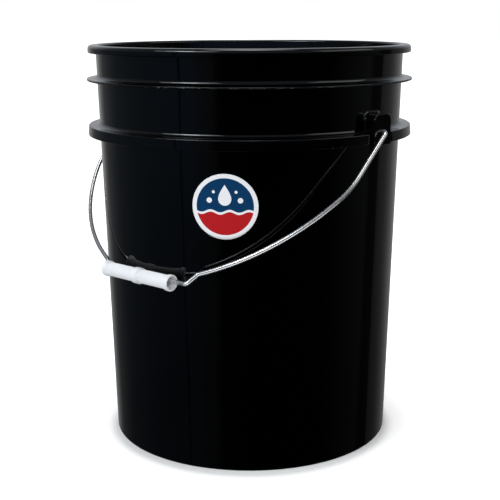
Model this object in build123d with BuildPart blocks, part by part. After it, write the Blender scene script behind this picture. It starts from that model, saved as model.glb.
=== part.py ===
from build123d import *
import os
from math import atan, cos, degrees, radians, sin

# A five-gallon plastic pail with a swinging wire bail, a grip tube on the wire and a round label.
# Millimetres. +Z is up, the origin is the centre of the base, the two ears are on +X and -X,
# and the bail hangs down on the -Y side.

# ---- driving dimensions -------------------------------------------------------------------
# pail wall and floor
HEIGHT = 368.0
BASE_RADIUS = 131.1           # outside of the wall at the very bottom
TAPER = 0.0351                # growth of the wall radius per millimetre of height
WALL = 2.3
FLOOR_UNDERSIDE = 4.5         # the floor is recessed by this much inside the foot ring
FLOOR_THICKNESS = 2.5
FOOT_WIDTH = 3.2
FLOOR_CORNER = 7.0            # inside radius between floor and wall
FOOT_ROUND = 1.2

# rolled rim
RIM_RADIUS = 151.2
RIM_DEPTH = 7.3
RIM_LIP = 2.4                 # thickness of the lip that hangs down outside the wall
RIM_TOP = 2.8                 # thickness of the roll over the lid groove
RIM_OUTER_ROUND = 3.4
RIM_INNER_ROUND = 2.0
RIM_LIP_ROUND = 1.1

# thin ring below the rim
RING_RADIUS = 152.6
RING_TOP = 337.3
RING_THICKNESS = 2.0
RING_ROOT = 4.2               # concave radius between the ring's top and the wall
RING_UNDER_ROOT = 0.8
RING_EDGE = 0.7

# skirted collar
COLLAR_TOP = 294.2
COLLAR_DEPTH = 9.2
COLLAR_TOP_RADIUS = 151.6
COLLAR_BOTTOM_RADIUS = 152.2
COLLAR_PLATE = 2.4
SKIRT = 2.2
COLLAR_ROOT = 4.5
COLLAR_END_ROUND = 2.5        # plan radius of the collar's corners beside the ears
COLLAR_EDGE = 0.8
WALL_PAD = 0.2                # material left on the wall inside the collar's hollow

# ears
EAR_FACE = 153.0              # distance of the ear's outer face from the pail's axis
EAR_WIDTH = 24.8
EAR_BOTTOM = 283.6
EAR_TOP = 310.7
EAR_CORNER = 6.0
EAR_SHELL = 3.0               # thickness of the ear's sides and top
EAR_PLATE = 4.0               # thickness of the bored outer plate
EAR_GAP = 2.6                 # gap between the ear's side and the end of the collar
EAR_START = 140.1             # inside the wall's thickness, so the block joins the wall
EAR_ROOT = 3.0                # concave radius where the ear meets the wall
EAR_POCKET_FLOOR = 142.6      # where the hollow behind the outer plate starts

# wire bail
WIRE_RADIUS = 1.9
PIVOT_HEIGHT = 295.5
PIVOT_CLEARANCE = 0.1
PIVOT_CHAMFER = 1.2
LEG_OFFSET = 157.0            # distance of each straight leg from the pail's axis
REACH = 189.0                 # from the pivot axis to the straight middle of the wire
HANG_ANGLE = 40.85            # how far below level the bail hangs when the grip meets the wall
LEG_BEND = 4.1
HOOK_BEND = 3.2
HOOK_AXIS = 145.8             # distance of the hooked end from the pail's axis
HOOK_LENGTH = 3.6
WIRE_CHAMFER = 0.4
SHOULDER_BEND = 67.6          # bow radius next to the leg
BOW_BEND = 194.3              # bow radius next to the kinks
BOW_START_ANGLE = 27.0        # slope of the bow where it leaves the kink
BOW_END_ANGLE = 66.7          # slope where the two bow radii meet
KINK_BEND = 4.0
RIGHT_KINK_ANGLE = 65.0       # slope of the wire inside the kink on the +X side
RIGHT_KINK_LENGTH = 9.1
LEFT_KINK_ANGLE = 78.0        # the kink on the -X side is steeper and nearer the middle
LEFT_KINK_LENGTH = 1.5

# grip
GRIP_LENGTH = 83.0
GRIP_SHIFT = 2.3              # the grip has slid this far towards -X, up to the nearer kink
GRIP_DROP = 2.0               # the loose tube hangs this far off the wire's centre line
GRIP_RADIUS = 5.85
RIB_HEIGHT = 0.3
RIB_COUNT = 36
RIB_ROOT = 0.1                # depth of the ribs' centres below the grip's surface
RIB_OVERRUN = 0.5             # how far the ribs run into the bead and the flares
BEAD_RADIUS = 7.1
BEAD_WIDTH = 7.0
BEAD_STEP_RADIUS = 6.4
BEAD_STEP_WIDTH = 10.5
BEAD_EDGE = 0.5
LIP_RADIUS = 7.15
LIP_WIDTH = 4.2
LIP_EDGE = 0.6
LIP_BACK_ROUND = 0.9
FLARE_LENGTH = 1.8
MOUTH_RADIUS = 5.9
MOUTH_DEPTH = 5.0
BORE_RADIUS = 4.0             # rests on the top of the wire, 0.1 mm clear of it

# label
LABEL_DIAMETER = 56.0
LABEL_HEIGHT = 237.0
LABEL_AZIMUTH = 32.9          # from -Y towards +X
LABEL_THICKNESS = 0.2


def wall_radius(z):
    """Outside radius of the tapered wall at height z."""
    return BASE_RADIUS + TAPER * z


def radial_plane(angle):
    """Upright plane through the pail's axis: local x is outward at the angle, local y is up."""
    a = radians(angle)
    return Plane(origin=(0, 0, 0), x_dir=(cos(a), sin(a), 0), z_dir=(sin(a), -cos(a), 0))


def axis_distance(point):
    """Distance of a point from the pail's axis."""
    return Vector(point.X, point.Y, 0).length


def corner(sketch, r, z):
    """The sketch vertex nearest to radius r and height z."""
    return sketch.vertices().sort_by_distance((r, z))[0]


# ---- pail ---------------------------------------------------------------------------------
RIM_UNDER = HEIGHT - RIM_DEPTH
GROOVE_ROOF = HEIGHT - RIM_TOP
RING_UNDER = RING_TOP - RING_THICKNESS
COLLAR_UNDER = COLLAR_TOP - COLLAR_DEPTH
FLOOR_TOP = FLOOR_UNDERSIDE + FLOOR_THICKNESS
BORE_CLEAR = WIRE_RADIUS + PIVOT_CLEARANCE
NOTCH_ANGLE = degrees((EAR_WIDTH / 2 + EAR_GAP) / COLLAR_TOP_RADIUS)
END_WALL_ANGLE = degrees(SKIRT / COLLAR_TOP_RADIUS)
COLLAR_ARC = 180 - 2 * NOTCH_ANGLE
HOLLOW_ARC = 180 - 2 * NOTCH_ANGLE - 2 * END_WALL_ANGLE
HOLLOW_LOW = COLLAR_UNDER - 1

with BuildPart() as pail:
    # wall, foot ring, floor, upper ring and rim are one turned section
    with BuildSketch(Plane.YZ) as section:
        with BuildLine():
            Polyline(
                (0, FLOOR_UNDERSIDE),
                (wall_radius(0) - FOOT_WIDTH, FLOOR_UNDERSIDE),
                (wall_radius(0) - FOOT_WIDTH, 0),
                (wall_radius(0), 0),
                (wall_radius(RING_UNDER), RING_UNDER),
                (RING_RADIUS, RING_UNDER),
                (RING_RADIUS, RING_TOP),
                (wall_radius(RING_TOP), RING_TOP),
                (wall_radius(GROOVE_ROOF), GROOVE_ROOF),
                (RIM_RADIUS - RIM_LIP, GROOVE_ROOF),
                (RIM_RADIUS - RIM_LIP, RIM_UNDER),
                (RIM_RADIUS, RIM_UNDER),
                (RIM_RADIUS, HEIGHT),
                (wall_radius(HEIGHT) - WALL, HEIGHT),
                (wall_radius(FLOOR_TOP) - WALL, FLOOR_TOP),
                (0, FLOOR_TOP),
                close=True,
            )
        make_face()
        fillet(corner(section, wall_radius(RING_TOP), RING_TOP), RING_ROOT)
        fillet(corner(section, wall_radius(RING_UNDER), RING_UNDER), RING_UNDER_ROOT)
        fillet(corner(section, RING_RADIUS, RING_TOP), RING_EDGE)
        fillet(corner(section, RING_RADIUS, RING_UNDER), RING_EDGE)
        fillet(corner(section, RIM_RADIUS, HEIGHT), RIM_OUTER_ROUND)
        fillet(corner(section, RIM_RADIUS, RIM_UNDER), RIM_LIP_ROUND)
        fillet(corner(section, wall_radius(HEIGHT) - WALL, HEIGHT), RIM_INNER_ROUND)
        fillet(corner(section, wall_radius(FLOOR_TOP) - WALL, FLOOR_TOP), FLOOR_CORNER)
        fillet(corner(section, wall_radius(0), 0), FOOT_ROUND)
        fillet(corner(section, wall_radius(0) - FOOT_WIDTH, FLOOR_UNDERSIDE), FOOT_ROUND)
    revolve(axis=Axis.Z)

    # each ear is a block with rounded top corners that stands out of the wall
    for side in (1, -1):
        outward = Plane(origin=(0, 0, 0), x_dir=(0, side, 0), z_dir=(side, 0, 0))
        with BuildSketch(outward.offset(EAR_START)) as ear_outline:
            with Locations((0, (EAR_BOTTOM + EAR_TOP) / 2)):
                Rectangle(EAR_WIDTH, EAR_TOP - EAR_BOTTOM)
            fillet(ear_outline.vertices().group_by(Axis.Y)[-1], EAR_CORNER)
        extrude(amount=EAR_FACE - EAR_START)
        root = pail.edges().filter_by(
            lambda e: side * (e @ 0.5).X > EAR_START
            and abs((e @ 0.5).Y) < EAR_WIDTH / 2 + 0.1
            and EAR_BOTTOM + 1 < (e @ 0.5).Z < EAR_TOP + 0.1
            and abs(axis_distance(e @ 0.5) - wall_radius((e @ 0.5).Z)) < 0.3
        )
        fillet(root, EAR_ROOT)

    # the collar is two arcs that stop short of the ears
    for side in (0, 180):
        with BuildSketch(radial_plane(side + NOTCH_ANGLE)):
            with BuildLine():
                inner = wall_radius(COLLAR_TOP)
                root_top = COLLAR_TOP + COLLAR_ROOT
                root_middle = COLLAR_ROOT * (1 - cos(radians(45)))
                foot = Line((inner - 1, COLLAR_UNDER), (COLLAR_BOTTOM_RADIUS, COLLAR_UNDER))
                outside = Line(foot @ 1, (COLLAR_TOP_RADIUS, COLLAR_TOP))
                Line((COLLAR_TOP_RADIUS, COLLAR_TOP), (inner + COLLAR_ROOT, COLLAR_TOP))
                ThreePointArc(
                    (inner + COLLAR_ROOT, COLLAR_TOP),
                    (inner + root_middle, COLLAR_TOP + root_middle),
                    (inner, root_top),
                )
                Polyline((inner, root_top), (inner - 1, root_top), (inner - 1, COLLAR_UNDER))
            make_face()
        revolve(axis=Axis.Z, revolution_arc=COLLAR_ARC)
    collar_ends = pail.edges().filter_by(
        lambda e: COLLAR_DEPTH - 0.1 < e.length < COLLAR_DEPTH + 0.1
        and e.center().Z < COLLAR_TOP
        and axis_distance(e.center()) > COLLAR_TOP_RADIUS - 1
    )
    fillet(collar_ends, COLLAR_END_ROUND)
    collar_edges = pail.edges().filter_by(
        lambda e: COLLAR_UNDER - 0.1 < (e @ 0.5).Z < COLLAR_TOP + 0.1
        and axis_distance(e @ 0.5) > COLLAR_TOP_RADIUS - COLLAR_END_ROUND
        and abs((e % 0.5).Z) < 0.1
        and abs((e @ 0.5).Y) > EAR_WIDTH / 2 + 1
    )
    fillet(collar_edges, COLLAR_EDGE)
    for side in (0, 180):
        with BuildSketch(radial_plane(side + NOTCH_ANGLE + END_WALL_ANGLE)):
            with BuildLine():
                Polyline(
                    (wall_radius(HOLLOW_LOW) + WALL_PAD, HOLLOW_LOW),
                    (COLLAR_BOTTOM_RADIUS - SKIRT, HOLLOW_LOW),
                    (COLLAR_TOP_RADIUS - SKIRT, COLLAR_TOP - COLLAR_PLATE),
                    (wall_radius(COLLAR_TOP) + WALL_PAD, COLLAR_TOP - COLLAR_PLATE),
                    close=True,
                )
            make_face()
        revolve(axis=Axis.Z, revolution_arc=HOLLOW_ARC, mode=Mode.SUBTRACT)

    # the ears are hollow behind their outer plates, open below, and bored for the wire
    for side in (1, -1):
        outward = Plane(origin=(0, 0, 0), x_dir=(0, side, 0), z_dir=(side, 0, 0))
        with BuildSketch(outward.offset(EAR_POCKET_FLOOR)) as pocket_outline:
            with Locations((0, (EAR_BOTTOM - 1 + EAR_TOP - EAR_SHELL) / 2)):
                Rectangle(EAR_WIDTH - 2 * EAR_SHELL, EAR_TOP - EAR_SHELL - EAR_BOTTOM + 1)
            fillet(pocket_outline.vertices().group_by(Axis.Y)[-1], EAR_CORNER - EAR_SHELL)
        extrude(amount=EAR_FACE - EAR_PLATE - EAR_POCKET_FLOOR, mode=Mode.SUBTRACT)
        with BuildSketch(outward.offset(EAR_FACE - EAR_PLATE - 0.5)):
            with Locations((0, PIVOT_HEIGHT)):
                Circle(BORE_CLEAR)
        extrude(amount=EAR_PLATE + 1, mode=Mode.SUBTRACT)
        bore_mouth = (
            pail.edges().filter_by(GeomType.CIRCLE)
            .filter_by(lambda e: abs(e.radius - BORE_CLEAR) < 0.01)
            .sort_by_distance((side * EAR_FACE, 0, PIVOT_HEIGHT))[0]
        )
        chamfer(bore_mouth, PIVOT_CHAMFER)
pail.part.label = "pail"


# ---- bail ---------------------------------------------------------------------------------
# The wire lies in one plane through the pivot axis: local x is along that axis and local -y
# points down the bail. Both halves share one bow. The kinks differ, so the -X half has a short
# straight lead between its bow and its kink, as long as it takes to level the two kinks, and
# the straight middle runs from one kink to the other, further towards +X.
HANG = radians(HANG_ANGLE)
START = radians(BOW_START_ANGLE)
END = radians(BOW_END_ANGLE)


def kink_size(angle, length):
    """Width and height, in the bail's plane, of a kink from the straight middle to the bow."""
    slope = radians(angle)
    width = KINK_BEND * (2 * sin(slope) - sin(START)) + length * cos(slope)
    height = KINK_BEND * (1 - 2 * cos(slope) + cos(START)) + length * sin(slope)
    return width, height


right_width, right_height = kink_size(RIGHT_KINK_ANGLE, RIGHT_KINK_LENGTH)
left_width, left_height = kink_size(LEFT_KINK_ANGLE, LEFT_KINK_LENGTH)
LEFT_LEAD = (right_height - left_height) / sin(START)
BOW_START = LEG_OFFSET - BOW_BEND * (sin(END) - sin(START)) - SHOULDER_BEND * (1 - sin(END))
STRAIGHT_RIGHT = BOW_START - right_width
STRAIGHT_LEFT = BOW_START - LEFT_LEAD * cos(START) - left_width
bail_plane = Plane(origin=(0, 0, PIVOT_HEIGHT), x_dir=(1, 0, 0), z_dir=(0, -sin(HANG), cos(HANG)))

with BuildPart() as bail:
    with BuildLine(bail_plane) as wire_path:
        middle = Line((-STRAIGHT_LEFT, -REACH), (STRAIGHT_RIGHT, -REACH))
        for side, kink_angle, kink_length, lead_length in (
            (1, RIGHT_KINK_ANGLE, RIGHT_KINK_LENGTH, 0),
            (-1, LEFT_KINK_ANGLE, LEFT_KINK_LENGTH, LEFT_LEAD),
        ):
            straight_end = (STRAIGHT_RIGHT if side > 0 else -STRAIGHT_LEFT, -REACH)
            kink_low = JernArc(straight_end, (side, 0), KINK_BEND, side * kink_angle)
            kink = Line(kink_low @ 1, kink_low @ 1 + (kink_low % 1) * kink_length)
            kink_high = JernArc(
                kink @ 1, kink % 1, KINK_BEND, side * (BOW_START_ANGLE - kink_angle)
            )
            low_end = kink_high
            if lead_length:
                low_end = Line(kink_high @ 1, kink_high @ 1 + (kink_high % 1) * lead_length)
            bow = JernArc(
                low_end @ 1, low_end % 1, BOW_BEND, side * (BOW_END_ANGLE - BOW_START_ANGLE)
            )
            shoulder = JernArc(bow @ 1, bow % 1, SHOULDER_BEND, side * (90 - BOW_END_ANGLE))
            leg = Line(shoulder @ 1, (side * LEG_OFFSET, -LEG_BEND))
            leg_bend = JernArc(leg @ 1, leg % 1, LEG_BEND, side * 90)
            pivot = Line(leg_bend @ 1, (side * (HOOK_AXIS + HOOK_BEND), 0))
            hook_bend = JernArc(pivot @ 1, pivot % 1, HOOK_BEND, side * -90)
            Line(hook_bend @ 1, (side * HOOK_AXIS, HOOK_BEND + HOOK_LENGTH))
    wire_start = wire_path.wire() @ 0
    wire_heading = wire_path.wire() % 0
    with BuildSketch(Plane(origin=wire_start, z_dir=wire_heading)):
        Circle(WIRE_RADIUS)
    sweep(path=wire_path.wire())
    chamfer(bail.faces().filter_by(GeomType.PLANE).edges(), WIRE_CHAMFER)
bail.part.label = "bail"


# ---- grip ---------------------------------------------------------------------------------
# A loose tube over the straight middle of the wire, with lengthwise ribs on both halves.
grip_centre = bail_plane.from_local_coords((-GRIP_SHIFT, -REACH - GRIP_DROP, 0))
grip_plane = Plane(origin=grip_centre, x_dir=(1, 0, 0), z_dir=bail_plane.z_dir)
HALF_GRIP = GRIP_LENGTH / 2
RIB_START = BEAD_STEP_WIDTH / 2 - RIB_OVERRUN
RIB_END = HALF_GRIP - LIP_WIDTH - FLARE_LENGTH + RIB_OVERRUN

with BuildPart() as grip:
    with BuildSketch(grip_plane) as grip_section:
        with BuildLine():
            Polyline(
                (0, BORE_RADIUS),
                (HALF_GRIP - MOUTH_DEPTH, BORE_RADIUS),
                (HALF_GRIP, MOUTH_RADIUS),
                (HALF_GRIP, LIP_RADIUS),
                (HALF_GRIP - LIP_WIDTH, LIP_RADIUS),
                (HALF_GRIP - LIP_WIDTH - FLARE_LENGTH, GRIP_RADIUS),
                (BEAD_STEP_WIDTH / 2, GRIP_RADIUS),
                (BEAD_STEP_WIDTH / 2, BEAD_STEP_RADIUS),
                (BEAD_WIDTH / 2, BEAD_STEP_RADIUS),
                (BEAD_WIDTH / 2, BEAD_RADIUS),
                (0, BEAD_RADIUS),
                close=True,
            )
        make_face()
        fillet(corner(grip_section, HALF_GRIP, LIP_RADIUS), LIP_EDGE)
        fillet(corner(grip_section, HALF_GRIP - LIP_WIDTH, LIP_RADIUS), LIP_BACK_ROUND)
        fillet(corner(grip_section, BEAD_WIDTH / 2, BEAD_RADIUS), BEAD_EDGE)
        mirror(about=Plane.YZ)
    revolve(axis=Axis(grip_centre, (1, 0, 0)))
    for side in (1, -1):
        rib_plane = Plane(origin=grip_centre, x_dir=(0, side, 0), z_dir=(side, 0, 0))
        with BuildSketch(rib_plane.offset(RIB_START)):
            with PolarLocations(GRIP_RADIUS - RIB_ROOT, RIB_COUNT):
                Circle(RIB_HEIGHT + RIB_ROOT)
        extrude(amount=RIB_END - RIB_START)
grip.part.label = "grip"


# ---- label --------------------------------------------------------------------------------
# A round film that follows the wall: the disc is cut square to the wall at the label's centre.
label_plane = radial_plane(LABEL_AZIMUTH - 90)
LABEL_SPAN = LABEL_DIAMETER / 2 + 2
LABEL_ARC = 2 * degrees(LABEL_SPAN / wall_radius(LABEL_HEIGHT))
WALL_LEAN = atan(TAPER)
label_centre = label_plane.from_local_coords((wall_radius(LABEL_HEIGHT), LABEL_HEIGHT, 0))
outward_normal = label_plane.x_dir * cos(WALL_LEAN) + Vector(0, 0, -sin(WALL_LEAN))

with BuildPart() as label:
    with BuildSketch(radial_plane(LABEL_AZIMUTH - 90 - LABEL_ARC / 2)):
        with BuildLine():
            low = LABEL_HEIGHT - LABEL_SPAN
            high = LABEL_HEIGHT + LABEL_SPAN
            Polyline(
                (wall_radius(low), low),
                (wall_radius(low) + LABEL_THICKNESS, low),
                (wall_radius(high) + LABEL_THICKNESS, high),
                (wall_radius(high), high),
                close=True,
            )
        make_face()
    revolve(axis=Axis.Z, revolution_arc=LABEL_ARC)
    with BuildSketch(Plane(origin=label_centre, z_dir=outward_normal)):
        Circle(LABEL_DIAMETER / 2)
    extrude(amount=10, both=True, mode=Mode.INTERSECT)
label.part.label = "label"


# ---- output -------------------------------------------------------------------------------
os.makedirs("parts", exist_ok=True)
for piece in (pail, bail, grip, label):
    export_step(piece.part, f"parts/{piece.part.label}.step")
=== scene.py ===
from math import atan, cos, hypot, pi, radians, sin, sqrt, tan

import bmesh
import bpy
from mathutils import Matrix, Vector


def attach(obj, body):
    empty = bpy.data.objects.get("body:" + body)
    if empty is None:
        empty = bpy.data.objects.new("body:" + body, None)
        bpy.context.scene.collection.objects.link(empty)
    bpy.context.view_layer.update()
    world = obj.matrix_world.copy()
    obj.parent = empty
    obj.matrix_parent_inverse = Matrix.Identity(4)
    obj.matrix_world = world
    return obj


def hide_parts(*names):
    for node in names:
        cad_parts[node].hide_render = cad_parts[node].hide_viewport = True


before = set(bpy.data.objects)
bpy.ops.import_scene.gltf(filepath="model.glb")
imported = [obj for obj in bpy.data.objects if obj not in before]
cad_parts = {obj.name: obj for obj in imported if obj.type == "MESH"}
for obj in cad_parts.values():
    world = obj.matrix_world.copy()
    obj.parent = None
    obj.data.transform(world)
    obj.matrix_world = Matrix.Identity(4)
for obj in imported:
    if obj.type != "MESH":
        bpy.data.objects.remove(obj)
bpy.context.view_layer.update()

MM = 0.001

# ---- the pail's dimensions, in millimetres, as in the CAD ---------------------------------
# wall, floor and foot
HEIGHT = 368.0
BASE_RADIUS = 131.1           # outside of the wall at the very bottom
TAPER = 0.0351                # growth of the wall's radius per millimetre of height
WALL = 2.3
FLOOR_UNDERSIDE = 4.5
FLOOR_TOP = 7.0
FLOOR_CORNER = 7.0            # inside radius between floor and wall
FOOT_WIDTH = 3.2
FOOT_ROUND = 1.2              # outside of the foot, and the recess's corner with the floor
FOOT_EDGE = 0.4

# rolled rim
RIM_RADIUS = 151.2
RIM_UNDER = HEIGHT - 7.3
RIM_LIP = 2.4                 # thickness of the lip that hangs down outside the wall
RIM_LIP_EDGE = 0.4
RIM_LIP_ROUND = 1.1
RIM_OUTER_ROUND = 3.4
RIM_INNER_ROUND = 2.0
GROOVE_ROOF = HEIGHT - 2.8    # top of the groove between the wall and the lip
GROOVE_CORNER = 0.5

# thin ring below the rim
RING_RADIUS = 152.6
RING_TOP = 337.3
RING_UNDER = 335.3
RING_ROOT = 4.2
RING_UNDER_ROOT = 0.8
RING_EDGE = 0.7

# skirted collar
COLLAR_TOP = 294.2
COLLAR_UNDER = 285.0
COLLAR_TOP_RADIUS = 151.6
COLLAR_BOTTOM_RADIUS = 152.2
COLLAR_PLATE = 2.4
COLLAR_ROOT = 4.5
COLLAR_TAIL = 1.5             # the root's curve runs on this far up the wall
COLLAR_TAIL_SINK = 0.2        # and ends this far inside the wall's surface
COLLAR_SINK = 1.2             # the collar starts this far inside the wall's surface
COLLAR_END_ROUND = 2.5
COLLAR_EDGE = 0.8
SKIRT = 2.2
COLLAR_END_WALL = SKIRT + 0.5  # length of the solid ends beside the ears

# ears
EAR_FACE = 153.0
EAR_PLATE = 4.0
EAR_WIDTH = 24.8
EAR_BOTTOM = 283.6
EAR_TOP = 310.7
EAR_CORNER = 6.0
EAR_LEAST_CORNER = 0.4        # the hollow's corners stay at least this round
EAR_SHELL = 3.0
EAR_GAP = 2.6
EAR_ROOT = 3.0
EAR_EDGE = 0.8
EAR_BACK = 139.7              # inside the wall's thickness
EAR_SINK = 0.05               # the root's curve starts this far inside the wall's surface
POCKET_FLOOR = 142.6
POCKET_OVERRUN = 2.0          # the hollow's cutter runs this far out below the ear
PIVOT_HEIGHT = 295.5
BORE_RADIUS = 2.0
BORE_CHAMFER = 1.2
BORE_OVERRUN = 1.0            # the bore's cutter runs this far into the hollow
CHAMFER_OVERRUN = 0.5         # and this far out of the ear's face
BORE_SIDES = 48

# label, with a drop, bubbles and two fields
LABEL_RADIUS = 28.0
LABEL_HEIGHT = 237.0
LABEL_AZIMUTH = radians(32.9)  # from -Y towards +X
LABEL_THICKNESS = 0.2
INK = 0.03                    # each printed layer lies this far over the one below
FIELD_RADIUS = 24.3
WAVE_LENGTH = 16.2
WAVE_HEIGHT = 1.2
UPPER_FOOT = -3.6             # mean height of the upper field's wavy lower edge
LOWER_TOP = -5.6
DROP_RADIUS = 5.6
DROP_CENTRE = 6.6
DROP_TIP = 12.2               # from the drop's centre up to its point
DROP_FLANK = 0.9              # these two powers shape the drop's sides
DROP_POINT = 0.6
BUBBLES = ((-13.2, 5.4, 2.3), (13.2, 5.4, 2.3), (-9.6, 12.6, 1.3), (9.6, 12.6, 1.3))

# ---- mesh steps ---------------------------------------------------------------------------
ARC_STEPS = 7                 # pieces of a quarter circle on the collar's ends and the ears
ARC_GUARD = 0.4               # extra points stand this far outside each rounded corner
LATHE_STEPS = 288
LONGEST_RUN = 14.0
COLLAR_STEPS = 96
SIDE_STEPS = 6                # pieces of each straight side of an ear
CORNER_STEPS = 10
WELD = 1e-7                   # metres
INK_SAMPLES = 2000            # steps from the label's middle to its edge
INK_GAP = 0.02                # a printed patch ends where its curves are closer than this

# the photograph looks along a horizontal direction this far round from +Y
CAMERA_AZIMUTH = radians(41.5)
FRONT = Vector((sin(CAMERA_AZIMUTH), -cos(CAMERA_AZIMUTH), 0))
RIGHT = Vector((cos(CAMERA_AZIMUTH), sin(CAMERA_AZIMUTH), 0))
UP = Vector((0, 0, 1))


def wall_radius(z):
    """Outside radius of the tapered wall at height z."""
    return BASE_RADIUS + TAPER * z


# ---- node trees ---------------------------------------------------------------------------
NOISE_LOW, NOISE_HIGH = 0.3, 0.7   # nearly all of a noise texture's values lie between these


class Nodes:
    """Short calls for the nodes used here. place is the tree's texture coordinate."""

    def __init__(self, tree, coordinate):
        self.tree = tree
        self.place = self.node("TexCoord").outputs[coordinate]

    def set(self, node, socket, value):
        if isinstance(value, bpy.types.NodeSocket):
            self.tree.links.new(value, node.inputs[socket])
        else:
            node.inputs[socket].default_value = value

    def node(self, kind, **inputs):
        made = self.tree.nodes.new("ShaderNode" + kind)
        for key, value in inputs.items():
            self.set(made, key, value)
        return made

    def maths(self, operation, *values):
        made = self.node("Math")
        made.operation = operation
        for i, value in enumerate(values):
            self.set(made, i, value)
        return made.outputs["Value"]

    def measured(self, operation, vector):
        """The place measured against a fixed vector: DOT_PRODUCT or DISTANCE."""
        made = self.node("VectorMath")
        made.operation = operation
        self.set(made, 0, self.place)
        self.set(made, 1, vector)
        return made.outputs["Value"]

    def scaled(self, colour, factor):
        made = self.node("VectorMath")
        made.operation = "SCALE"
        self.set(made, 0, colour)
        self.set(made, "Scale", factor)
        return made.outputs["Vector"]

    def ranged(self, value, start, end, low=0.0, high=1.0, soft=False):
        """low where value is start, high where it is end, and no further."""
        made = self.node("MapRange", Value=value)
        made.interpolation_type = "SMOOTHSTEP" if soft else "LINEAR"
        limits = {"From Min": start, "From Max": end, "To Min": low, "To Max": high}
        for socket, limit in limits.items():
            self.set(made, socket, limit)
        return made.outputs["Result"]

    def blend(self, factor, one, two):
        made = self.node("Mix")
        made.data_type = "RGBA"
        self.set(made, "Factor", factor)
        for socket, colour in (("A", one), ("B", two)):
            linked = isinstance(colour, bpy.types.NodeSocket)
            self.set(made, socket, colour if linked else (*colour, 1.0))
        return made.outputs["Result"]


class Shader(Nodes):
    """A Principled material placed by the object's own coordinates."""

    def __init__(self, name, colour, roughness, metallic=0.0, **inputs):
        self.material = bpy.data.materials.new(name)
        self.material.use_nodes = True
        super().__init__(self.material.node_tree, "Object")
        self.bsdf = self.tree.nodes["Principled BSDF"]
        self.surface(
            Base_Color=(*colour, 1.0), Roughness=roughness, Metallic=metallic, IOR=1.5, **inputs)

    def surface(self, **inputs):
        """Sets the Principled shader's sockets, with _ for each space of a name."""
        for key, value in inputs.items():
            self.set(self.bsdf, key.replace("_", " "), value)

    def noise(self, scale, detail=2.0, stretch=None):
        """Noise, with the coordinates first stretched by axis if that is asked for."""
        place = self.place
        if stretch:
            place = self.node("Mapping", Vector=place, Scale=stretch).outputs["Vector"]
        return self.node("TexNoise", Vector=place, Scale=scale, Detail=detail).outputs["Fac"]

    def uneven(self, scale, detail, low, high):
        """Noise spread between two numbers."""
        return self.ranged(self.noise(scale, detail), NOISE_LOW, NOISE_HIGH, low, high)

    def bump(self, *heights):
        """heights: (value socket, height in metres) pairs, added one on another."""
        normal = None
        for value, height in heights:
            node = self.node("Bump", Height=value, Distance=height, Strength=1.0)
            if normal:
                self.set(node, "Normal", normal)
            normal = node.outputs["Normal"]
        self.surface(Normal=normal)


# ---- materials ----------------------------------------------------------------------------
def pail_plastic():
    s = Shader("pail_plastic", (0.0002, 0.00025, 0.0004), 0.06)
    s.surface(Roughness=s.uneven(30.0, 4.0, 0.02, 0.045))
    flow = s.noise(1.0, 2.0, (26.0, 26.0, 5.0))
    grain = s.noise(900.0)
    s.bump((flow, 0.00035), (grain, 0.000004))
    return s.material


def bail_steel():
    s = Shader("bail_steel", (0.6, 0.6, 0.61), 0.2, metallic=0.92)
    spangle = s.noise(260.0, 3.0)
    s.surface(Base_Color=s.blend(spangle, (0.68, 0.68, 0.69), (0.8, 0.8, 0.8)),
              Roughness=s.uneven(300.0, 3.0, 0.22, 0.28))
    s.bump((s.noise(1200.0), 0.000005))
    return s.material


def grip_plastic():
    s = Shader("grip_plastic", (0.86, 0.88, 0.91), 0.38, Subsurface_Weight=0.2,
               Subsurface_Radius=(0.002, 0.002, 0.002), Subsurface_Scale=1.0)
    soil = s.noise(120.0, 4.0)
    s.surface(Base_Color=s.blend(soil, (0.84, 0.86, 0.895), (0.88, 0.9, 0.93)),
              Roughness=s.uneven(400.0, 3.0, 0.32, 0.46))
    s.bump((s.noise(1600.0), 0.00001))
    return s.material


def print_film(name, one, two):
    """Printed vinyl: two shades of one ink under a smooth clear face."""
    s = Shader(name, one, 0.3, Specular_IOR_Level=0.08)
    s.surface(Base_Color=s.blend(s.noise(220.0, 4.0), one, two),
              Roughness=s.uneven(500.0, 3.0, 0.24, 0.36))
    s.bump((s.noise(300.0, 3.0), 0.000005))
    return s.material


BLACK = pail_plastic()
STEEL = bail_steel()
WHITE_GRIP = grip_plastic()
FILM_WHITE = print_film("film_white", (0.85, 0.865, 0.9), (0.87, 0.885, 0.92))
FILM_BLUE = print_film("film_blue", (0.0024, 0.040, 0.118), (0.0028, 0.042, 0.125))
FILM_RED = print_film("film_red", (0.465, 0.0115, 0.016), (0.48, 0.0125, 0.017))


# ---- mesh helpers -------------------------------------------------------------------------
def quarter(steps):
    """The angles of a quarter turn."""
    return [k / steps * pi / 2 for k in range(steps + 1)]


def rounded(corners, steps=6):
    """A path through (x, y, radius) corners with each corner rounded. An extra point on each
    side of every arc keeps the smooth shading from running out over the straight stretches."""
    path = []
    last = len(corners) - 1
    for i, (x, y, radius) in enumerate(corners):
        here = Vector((x, y))
        if radius == 0 or i in (0, last):
            path.append((x, y))
            continue
        back = (Vector(corners[i - 1][:2]) - here).normalized()
        on = (Vector(corners[i + 1][:2]) - here).normalized()
        half = back.angle(on) / 2
        reach = radius / tan(half)
        centre = here + (back + on).normalized() * (radius / sin(half))
        start, end = here + back * reach - centre, here + on * reach - centre
        turn = start.angle_signed(end)
        path.append(tuple(centre + start + back * ARC_GUARD))
        for k in range(steps + 1):
            a = -turn * k / steps
            path.append((
                centre.x + start.x * cos(a) - start.y * sin(a),
                centre.y + start.x * sin(a) + start.y * cos(a),
            ))
        path.append(tuple(centre + end + on * ARC_GUARD))
    return path


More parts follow.
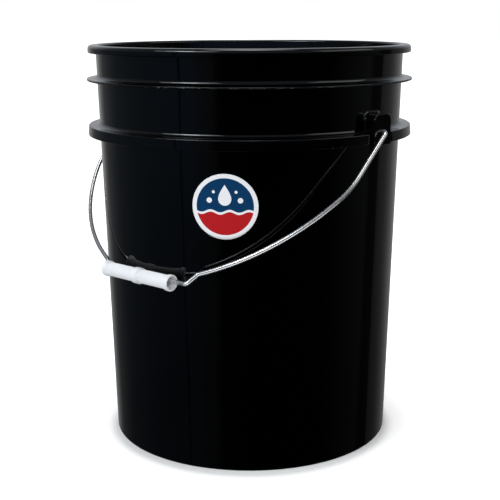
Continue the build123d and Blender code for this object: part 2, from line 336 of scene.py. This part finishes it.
def subdivided(path, longest):
    """The same path with long straight runs cut into pieces."""
    out = [path[0]]
    for (x0, y0), (x1, y1) in zip(path, path[1:]):
        pieces = max(1, int(hypot(x1 - x0, y1 - y0) / longest + 0.5))
        out += [(x0 + (x1 - x0) * k / pieces, y0 + (y1 - y0) * k / pieces)
                for k in range(1, pieces + 1)]
    return out


def loft(rings):
    """Points and faces through rings of equally many points, with both ends closed."""
    count = len(rings[0])
    vertices = [p for ring in rings for p in ring]
    faces = []
    for i in range(len(rings) - 1):
        for k in range(count):
            n = (k + 1) % count
            faces.append((i * count + k, i * count + n, (i + 1) * count + n, (i + 1) * count + k))
    faces.append(tuple(range(count)))
    faces.append(tuple(range((len(rings) - 1) * count, len(rings) * count)))
    return vertices, faces


def lathe(path):
    """Points and faces of an (r, z) path turned about the pail's axis, closed on the axis."""
    vertices, rows = [], []
    for r, z in path:
        if r < 1e-6:
            rows.append([len(vertices)] * LATHE_STEPS)
            vertices.append((0, 0, z))
            continue
        rows.append(list(range(len(vertices), len(vertices) + LATHE_STEPS)))
        for k in range(LATHE_STEPS):
            a = 2 * pi * k / LATHE_STEPS
            vertices.append((r * cos(a), r * sin(a), z))
    faces = []
    for low, high in zip(rows, rows[1:]):
        for k in range(LATHE_STEPS):
            n = (k + 1) % LATHE_STEPS
            faces.append(list(dict.fromkeys([low[k], low[n], high[n], high[k]])))
    return vertices, faces


def mesh_of(name, vertices, faces, weld=False):
    """A mesh from points in millimetres, with its faces turned outwards."""
    mesh = bpy.data.meshes.new(name)
    mesh.from_pydata([tuple(c * MM for c in v) for v in vertices], [], faces)
    work = bmesh.new()
    work.from_mesh(mesh)
    if weld:
        bmesh.ops.remove_doubles(work, verts=work.verts, dist=WELD)
    bmesh.ops.recalc_face_normals(work, faces=work.faces)
    work.to_mesh(mesh)
    work.free()
    return mesh


def placed(name, data):
    """A new object in the scene."""
    made = bpy.data.objects.new(name, data)
    bpy.context.scene.collection.objects.link(made)
    return made


def dressed(name, mesh, material=BLACK):
    """A smooth-shaded piece of the pail's body."""
    mesh.materials.clear()
    mesh.materials.append(material)
    for polygon in mesh.polygons:
        polygon.use_smooth = True
    piece = placed(name, mesh)
    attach(piece, "pail")
    return piece


def crisp(piece, angle):
    """Keeps the piece's real edges sharp and lets its flat faces shade flat."""
    piece.data.set_sharp_from_angle(angle=radians(angle))
    weighted = piece.modifiers.new("weighted", "WEIGHTED_NORMAL")
    weighted.keep_sharp = True
    weighted.weight = 100


# ---- pail: wall, floor, ring and rim ------------------------------------------------------
foot = wall_radius(0)
shell = rounded([
    (0, FLOOR_UNDERSIDE, 0),
    (foot - FOOT_WIDTH, FLOOR_UNDERSIDE, FOOT_ROUND),
    (foot - FOOT_WIDTH, 0, FOOT_EDGE),
    (foot, 0, FOOT_ROUND),
    (wall_radius(RING_UNDER), RING_UNDER, RING_UNDER_ROOT),
    (RING_RADIUS, RING_UNDER, RING_EDGE),
    (RING_RADIUS, RING_TOP, RING_EDGE),
    (wall_radius(RING_TOP), RING_TOP, RING_ROOT),
    (wall_radius(GROOVE_ROOF), GROOVE_ROOF, GROOVE_CORNER),
    (RIM_RADIUS - RIM_LIP, GROOVE_ROOF, GROOVE_CORNER),
    (RIM_RADIUS - RIM_LIP, RIM_UNDER, RIM_LIP_EDGE),
    (RIM_RADIUS, RIM_UNDER, RIM_LIP_ROUND),
    (RIM_RADIUS, HEIGHT, RIM_OUTER_ROUND),
    (wall_radius(HEIGHT) - WALL, HEIGHT, RIM_INNER_ROUND),
    (wall_radius(FLOOR_TOP) - WALL, FLOOR_TOP, FLOOR_CORNER),
    (0, FLOOR_TOP, 0),
])
pail_shell = dressed(
    "pail_shell", mesh_of("pail_shell", *lathe(subdivided(shell, LONGEST_RUN))))
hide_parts("pail")


# ---- pail: the collar's two arcs ----------------------------------------------------------
def collar_section(inset, hollow):
    """The collar's (r, z) section, with its outside drawn in by inset."""
    inner = wall_radius(COLLAR_TOP)
    top, low = COLLAR_TOP_RADIUS - inset, COLLAR_BOTTOM_RADIUS - inset
    outer = rounded([
        (low - SKIRT, COLLAR_UNDER, 0),
        (low, COLLAR_UNDER, COLLAR_EDGE),
        (top, COLLAR_TOP, COLLAR_EDGE),
        (inner, COLLAR_TOP, COLLAR_ROOT),
        (inner - COLLAR_TAIL_SINK, COLLAR_TOP + COLLAR_ROOT + COLLAR_TAIL, 0),
    ])
    roof = COLLAR_TOP - COLLAR_PLATE if hollow else COLLAR_UNDER
    back = inner - COLLAR_SINK
    return [(back, roof), (low - SKIRT, roof)] + outer + [(back, outer[-1][1])]


def collar(name, middle):
    """One arc of the skirted collar. middle is the direction of the middle of the arc."""
    half = pi / 2 - (EAR_WIDTH / 2 + EAR_GAP) / COLLAR_TOP_RADIUS
    length = 2 * half * COLLAR_TOP_RADIUS
    # one end as (distance along the arc, inset, hollow): a rounded corner, then the end wall
    end = [(COLLAR_END_ROUND * (1 - cos(a)), COLLAR_END_ROUND * (1 - sin(a)), False)
           for a in quarter(ARC_STEPS)]
    end += [(COLLAR_END_WALL, 0, False), (COLLAR_END_WALL, 0, True)]
    run = length - 2 * COLLAR_END_WALL
    stations = end + [(COLLAR_END_WALL + run * k / COLLAR_STEPS, 0, True)
                      for k in range(1, COLLAR_STEPS)]
    stations += [(length - s, inset, hollow) for s, inset, hollow in reversed(end)]
    rings = []
    for s, inset, hollow in stations:
        a = middle + (s - length / 2) / COLLAR_TOP_RADIUS
        rings.append([(r * cos(a), r * sin(a), z) for r, z in collar_section(inset, hollow)])
    crisp(dressed(name, mesh_of(name, *loft(rings))), 40.0)


collar("pail_collar_front", -pi / 2)
collar("pail_collar_back", pi / 2)


# ---- pail: ears ---------------------------------------------------------------------------
def ear_outline(grow, foot_z):
    """The ear seen along X, grown by a distance, as (y, z) points from one foot to the other."""
    half, top = EAR_WIDTH / 2 + grow, EAR_TOP + grow
    radius = max(EAR_CORNER + grow, EAR_LEAST_CORNER)
    side = [(-half, foot_z + (top - radius - foot_z) * k / SIDE_STEPS)
            for k in range(SIDE_STEPS)]
    side += [(-half + radius * (1 - cos(a)), top - radius + radius * sin(a))
             for a in quarter(CORNER_STEPS)]
    flat = half - radius
    crown = [(-flat + 2 * flat * k / SIDE_STEPS, top) for k in range(1, SIDE_STEPS)]
    return side + crown + [(-y, z) for y, z in reversed(side)]


def ear(name, side):
    """One ear: a block with a curved root, hollow behind its outer plate and bored for the
    wire. side is 1 or -1."""
    body = [[(side * EAR_BACK, y, z) for y, z in ear_outline(EAR_ROOT, EAR_BOTTOM)]]
    for a in quarter(ARC_STEPS):
        grow, rise = EAR_ROOT * (1 - sin(a)), EAR_ROOT * (1 - cos(a))
        body.append([
            (side * (sqrt(wall_radius(z) ** 2 - y ** 2) - EAR_SINK + rise), y, z)
            for y, z in ear_outline(grow, EAR_BOTTOM)
        ])
    for a in quarter(ARC_STEPS):
        inset = EAR_EDGE * (1 - cos(a))
        body.append([
            (side * (EAR_FACE - EAR_EDGE + EAR_EDGE * sin(a)), y, z)
            for y, z in ear_outline(-inset, EAR_BOTTOM + inset)
        ])
    pocket = [
        [(side * x, y, z) for y, z in ear_outline(-EAR_SHELL, EAR_BOTTOM - POCKET_OVERRUN)]
        for x in (POCKET_FLOOR, EAR_FACE - EAR_PLATE)
    ]
    around = [2 * pi * k / BORE_SIDES for k in range(BORE_SIDES)]
    bore = [
        [(side * x, r * cos(a), PIVOT_HEIGHT + r * sin(a)) for a in around]
        for x, r in (
            (EAR_FACE - EAR_PLATE - BORE_OVERRUN, BORE_RADIUS),
            (EAR_FACE - BORE_CHAMFER, BORE_RADIUS),
            (EAR_FACE + CHAMFER_OVERRUN, BORE_RADIUS + BORE_CHAMFER + CHAMFER_OVERRUN),
        )
    ]
    block, *cutters = [
        placed(name + suffix, mesh_of(name + suffix, *loft(rings), weld=True))
        for suffix, rings in (("_body", body), ("_pocket", pocket), ("_bore", bore))
    ]
    for cutter in cutters:
        cut = block.modifiers.new("cut", "BOOLEAN")
        cut.operation, cut.solver, cut.object = "DIFFERENCE", "EXACT", cutter
    bpy.context.view_layer.update()
    mesh = bpy.data.meshes.new_from_object(
        block.evaluated_get(bpy.context.evaluated_depsgraph_get()))
    mesh.name = name
    for used in (block, *cutters):
        bpy.data.objects.remove(used)
    crisp(dressed(name, mesh), 32.0)


ear("pail_ear_right", 1)
ear("pail_ear_left", -1)

# ---- label --------------------------------------------------------------------------------
lean = atan(TAPER)
label_out = Vector((sin(LABEL_AZIMUTH), -cos(LABEL_AZIMUTH), 0))
label_across = Vector((cos(LABEL_AZIMUTH), sin(LABEL_AZIMUTH), 0))
label_normal = label_out * cos(lean) - UP * sin(lean)
label_up = label_normal.cross(label_across)
label_centre = label_out * wall_radius(LABEL_HEIGHT) + UP * LABEL_HEIGHT


def on_label(x, y, lift):
    """The point on the wall under (x, y) of the label's face, lifted off it, in millimetres."""
    point = label_centre + label_across * x + label_up * y
    for _ in range(5):
        gap = wall_radius(point.z) + lift - hypot(point.x, point.y)
        point = point + label_normal * gap
    return tuple(point)


def printed(name, material, low, high, lift, columns=96, rows=20):
    """The patch of the label between two curves low(x) and high(x), where they are apart."""
    spread = [k * LABEL_RADIUS / INK_SAMPLES for k in range(-INK_SAMPLES, INK_SAMPLES + 1)]
    inside = [x for x in spread if high(x) - low(x) > INK_GAP]
    left, right = inside[0], inside[-1]
    vertices, faces = [], []
    for i in range(columns + 1):
        x = (left + right) / 2 - (right - left) / 2 * cos(pi * i / columns)
        a, b = low(x), high(x)
        vertices += [on_label(x, a + (b - a) * j / rows, lift) for j in range(rows + 1)]
    for i in range(columns):
        for j in range(rows):
            k = i * (rows + 1) + j
            faces.append((k, k + rows + 1, k + rows + 2, k + 1))
    return dressed(name, mesh_of(name, vertices, faces), material)


def chord(x, radius):
    """Half the height of a circle at x."""
    return sqrt(max(radius ** 2 - x ** 2, 0.0))


def wavy(x, height):
    """A wavy edge at a mean height, kept inside the printed fields' circle."""
    edge = chord(x, FIELD_RADIUS)
    return max(min(height + WAVE_HEIGHT * sin(2 * pi * x / WAVE_LENGTH), edge), -edge)


def drop_top(x):
    """The drop's outline above its centre, drawn up to a point."""
    return DROP_CENTRE + DROP_TIP * max(
        1 - (abs(x) / DROP_RADIUS) ** DROP_FLANK, 0.0) ** DROP_POINT


film = printed("label_film", FILM_WHITE, lambda x: -chord(x, LABEL_RADIUS),
               lambda x: chord(x, LABEL_RADIUS), LABEL_THICKNESS)
thick = film.modifiers.new("thick", "SOLIDIFY")
thick.thickness, thick.offset = LABEL_THICKNESS * MM, -1.0
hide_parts("label")
fields, marks = LABEL_THICKNESS + INK, LABEL_THICKNESS + 2 * INK
printed("label_upper", FILM_BLUE, lambda x: wavy(x, UPPER_FOOT),
        lambda x: chord(x, FIELD_RADIUS), fields)
printed("label_lower", FILM_RED, lambda x: -chord(x, FIELD_RADIUS),
        lambda x: wavy(x, LOWER_TOP), fields)
printed("label_drop", FILM_WHITE, lambda x: DROP_CENTRE - chord(x, DROP_RADIUS),
        drop_top, marks, 64, 24)
for i, (x0, y0, radius) in enumerate(BUBBLES):
    printed(f"label_bubble_{i}", FILM_WHITE, lambda x: y0 - chord(x - x0, radius),
            lambda x: y0 + chord(x - x0, radius), marks, 32, 8)

# ---- bail and grip: the CAD's own meshes --------------------------------------------------
for node, material in (("bail", STEEL), ("grip", WHITE_GRIP)):
    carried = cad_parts[node]
    carried.data.materials.clear()
    carried.data.materials.append(material)

# ---- floor --------------------------------------------------------------------------------
FLOOR_HALF = 12.0             # metres
# the floor glows, and glows less round the pail's foot: a painted contact shadow, not one cast by
# the lamps
PAINTED_SHADOW_FORWARD = 8.0           # the painted shadow round the foot lies this far towards the front, in mm
PAINTED_SHADOW_EDGE = BASE_RADIUS + 8.0
GLOW_EDGE = BASE_RADIUS + 80.0
PAINTED_SHADOW_GLOW = 0.02             # the floor's own glow at the foot, dimmed there as a painted contact shadow
NEAR_GLOW = 0.34              # the same at the painted shadow's edge
FAR_GLOW = 0.3                # how much more there is from the glow's edge outwards

floor_mesh = bpy.data.meshes.new("floor")
floor_mesh.from_pydata(
    [(x * FLOOR_HALF, y * FLOOR_HALF, 0) for x, y in ((-1, -1), (1, -1), (1, 1), (-1, 1))],
    [], [(0, 1, 2, 3)])
floor = placed("floor", floor_mesh)
pale = Shader("floor_pale", (0.9, 0.9, 0.9), 0.9,
              Specular_IOR_Level=0.0, Emission_Color=(1, 1, 1, 1))
# painted contact shadow: the glow rises from the foot outwards, then rises further so that the
# far floor is white
distance = pale.measured("DISTANCE", FRONT * PAINTED_SHADOW_FORWARD * MM)
near = pale.ranged(distance, BASE_RADIUS * MM, PAINTED_SHADOW_EDGE * MM, PAINTED_SHADOW_GLOW, NEAR_GLOW)
far = pale.ranged(distance, PAINTED_SHADOW_EDGE * MM, GLOW_EDGE * MM, 0.0, FAR_GLOW)
pale.surface(Base_Color=pale.blend(pale.noise(3.0), (0.89, 0.89, 0.89), (0.91, 0.91, 0.91)),
             Emission_Strength=pale.maths("ADD", near, far))
floor_mesh.materials.append(pale.material)
floor.visible_glossy = False
floor.visible_diffuse = False

# ---- lamps --------------------------------------------------------------------------------
AIM = Vector((0, 0, 0.2))
WHITE = (1, 1, 1)
COOL = (0.86, 0.94, 1.0)


def lamp(name, position, width, height, radiance, colour=WHITE):
    """A soft rectangular lamp aimed at the pail; radiance is the brightness of its face."""
    data = bpy.data.lights.new(name, "AREA")
    data.shape, data.size, data.size_y = "RECTANGLE", width, height
    data.energy = radiance * pi * width * height
    data.color = colour
    made = placed(name, data)
    made.location = position
    made.rotation_mode = "QUATERNION"
    made.rotation_quaternion = (AIM - position).to_track_quat("-Z", "Y")
    made.visible_camera = False
    return made


# the key is three lamps, one before another, so that its reflection is brighter in the middle
key = FRONT * 1.1 - RIGHT * 1.2 + UP * 1.5
lamp("key_wide", key, 1.5, 0.55, 2.6, COOL)
lamp("key_middle", key * 0.98, 0.9, 0.45, 3.4, COOL)
lamp("key_core", key * 0.96, 0.4, 0.35, 9.0, COOL)
lamp("fill", FRONT * 0.5 + RIGHT * 1.6 + UP * 1.3, 1.5, 0.8, 1.1)
lamp("top", UP * 2.0, 0.8, 0.8, 6.0)

# the pale floor's shine on the wire, which the wall's dark reflections leave out: a lamp that
# faces up from the floor and lights only the bail
shine = lamp("floor_shine", FRONT * 0.38 + UP * 0.002, 0.9, 0.3, 1.3)
shine.rotation_quaternion = Matrix((RIGHT, FRONT, -UP)).transposed().to_quaternion()
receivers = bpy.data.collections.new("floor_shine_receivers")
receivers.objects.link(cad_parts["bail"])
shine.light_linking.receiver_collection = receivers

# ---- world --------------------------------------------------------------------------------
# what the wall reflects all round near the horizon: degrees from the front, with + to the
# right, then brightness and blueness
ROOM = (
    (-180, 0.45, 1.0), (-155, 0.42, 1.0), (-140, 0.14, 1.05), (-118, 0.09, 1.2),
    (-52.6, 0.088, 1.4), (-52.3, 0.02, 1.1), (-51.3, 0.02, 1.1), (-51, 0.088, 1.4),
    (-40.6, 0.085, 1.4), (-40.4, 0.02, 1.1), (-39.6, 0.02, 1.1), (-39.4, 0.075, 1.3),
    (-28, 0.06, 1.1), (-22, 0.008, 1.0), (6, 0.002, 1.0), (60, 0.006, 1.0),
    (82, 0.045, 1.05), (99, 0.06, 1.05), (104, 0.02, 1.0), (114, 0.022, 1.0),
    (116.5, 0.095, 1.0), (130, 0.13, 1.0), (150, 0.3, 1.0), (180, 0.45, 1.0),
)
CEILING = (0.92, 1.0, 1.1)
HORIZON = (0.075, 0.115, 0.19)  # a bluish band just above the horizon at the front
SOFT_LIGHT = 0.75             # what diffuse rays see


def studio():
    """White backdrop; the wall's reflections see a dim room, with paler sides and back."""
    world = bpy.data.worlds.new("studio")
    bpy.context.scene.world = world
    world.use_nodes = True
    world.node_tree.nodes.clear()
    sky = Nodes(world.node_tree, "Generated")
    front, right, height = (sky.measured("DOT_PRODUCT", way) for way in (FRONT, RIGHT, UP))

    around = sky.maths("ARCTAN2", right, front)
    ramp = sky.node("ValToRGB", Fac=sky.maths("MULTIPLY_ADD", around, 1 / (2 * pi), 0.5))
    elements = ramp.color_ramp.elements
    for i, (angle, value, blueness) in enumerate(ROOM):
        position = (angle + 180) / 360
        element = elements[i] if i < 2 else elements.new(position)   # a ramp starts with two
        element.position = position
        element.color = (value / blueness, value, value * blueness, 1)
    # the room is dimmer towards the floor
    room = sky.scaled(ramp.outputs["Color"], sky.ranged(height, -0.4, -0.12, 0.45, 1.0))

    low_front = sky.maths("MULTIPLY", sky.ranged(height, 0.005, 0.04, soft=True),
                          sky.ranged(front, 0.5, 0.85, soft=True))
    walls = sky.blend(low_front, room, HORIZON)
    # the ceiling is paler behind
    ceiling = sky.scaled(CEILING, sky.ranged(front, -0.5, -0.9, 0.18, 0.6))
    seen = sky.blend(sky.ranged(height, -0.02, 0.3, soft=True), walls, ceiling)

    gloss = sky.node("Background", Color=seen).outputs[0]
    soft = sky.node("Background", Color=(1, 1, 1, 1), Strength=SOFT_LIGHT).outputs[0]
    backdrop = sky.node("Background", Color=(1, 1, 1, 1), Strength=1.0).outputs[0]
    path = sky.node("LightPath").outputs
    out = soft
    for kind, shader in (("Is Glossy Ray", gloss), ("Is Camera Ray", backdrop)):
        mix = sky.node("MixShader")
        for i, value in enumerate((path[kind], out, shader)):
            sky.set(mix, i, value)
        out = mix.outputs[0]
    sky.node("OutputWorld", Surface=out)


studio()
bpy.context.scene.view_settings.view_transform = "Standard"

# ---- camera: metres and radians, the lens and sensor in millimetres -----------------------
SENSOR = 36.0
LENS = 75.2904
SHIFT_Y = -0.128              # part of the frame's width
CAMERA_DISTANCE = 0.9953
CAMERA_HEIGHT = 0.396
CAMERA_ASIDE = 0.0002
CAMERA_PITCH = 0.1635         # downwards
CAMERA_ROLL = -0.0036
NEAREST = 0.01

camera_data = bpy.data.cameras.new("camera")
camera_data.sensor_width = SENSOR
camera_data.lens = LENS
camera_data.shift_y = SHIFT_Y
camera_data.clip_start = NEAREST
camera = placed("camera", camera_data)
camera.location = FRONT * CAMERA_DISTANCE + RIGHT * CAMERA_ASIDE + UP * CAMERA_HEIGHT
look = -FRONT * cos(CAMERA_PITCH) - UP * sin(CAMERA_PITCH)
level = look.cross(UP).normalized()
across = level * cos(CAMERA_ROLL) + level.cross(look) * sin(CAMERA_ROLL)
camera.rotation_mode = "QUATERNION"
camera.rotation_quaternion = Matrix(
    (across, across.cross(look), -look)).transposed().to_quaternion()
bpy.context.scene.camera = camera
